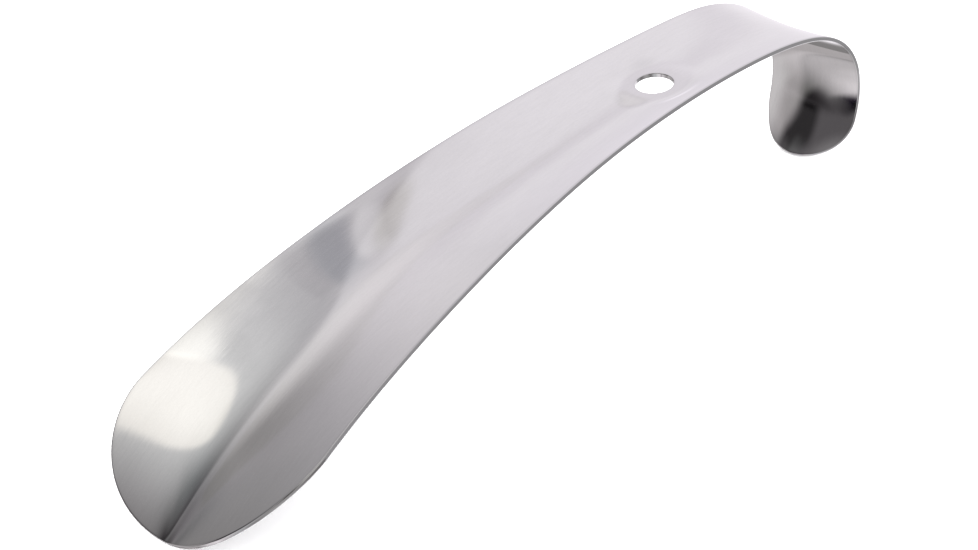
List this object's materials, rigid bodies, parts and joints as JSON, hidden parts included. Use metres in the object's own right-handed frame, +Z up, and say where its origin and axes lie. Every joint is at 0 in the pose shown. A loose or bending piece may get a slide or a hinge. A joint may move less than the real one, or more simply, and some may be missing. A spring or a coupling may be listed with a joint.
{
  "type": "shoehorn",
  "caption": "One-piece pressed steel shoehorn: rounded blade with a creased valley, narrower arched handle with a hanging hole, and a hooked tail.",
  "frame": {"origin": "centre of the bounding box in X and Y, on the table plane Z = 0 that the blade tip and the hook's tail touch", "axes": "+X from the blade tip to the hook, +Y to the left when looking along +X, +Z up, out of the concave side; Y = 0 is the plane of symmetry"},
  "size_m": [0.2014, 0.0494, 0.0393],
  "materials": {
    "brushed_stainless": "fine satin brush along the length, softly reflective, cut edges broken"
  },
  "bodies": {
    "root": {"shoehorn_body": "brushed_stainless"}
  },
  "joints": []
}
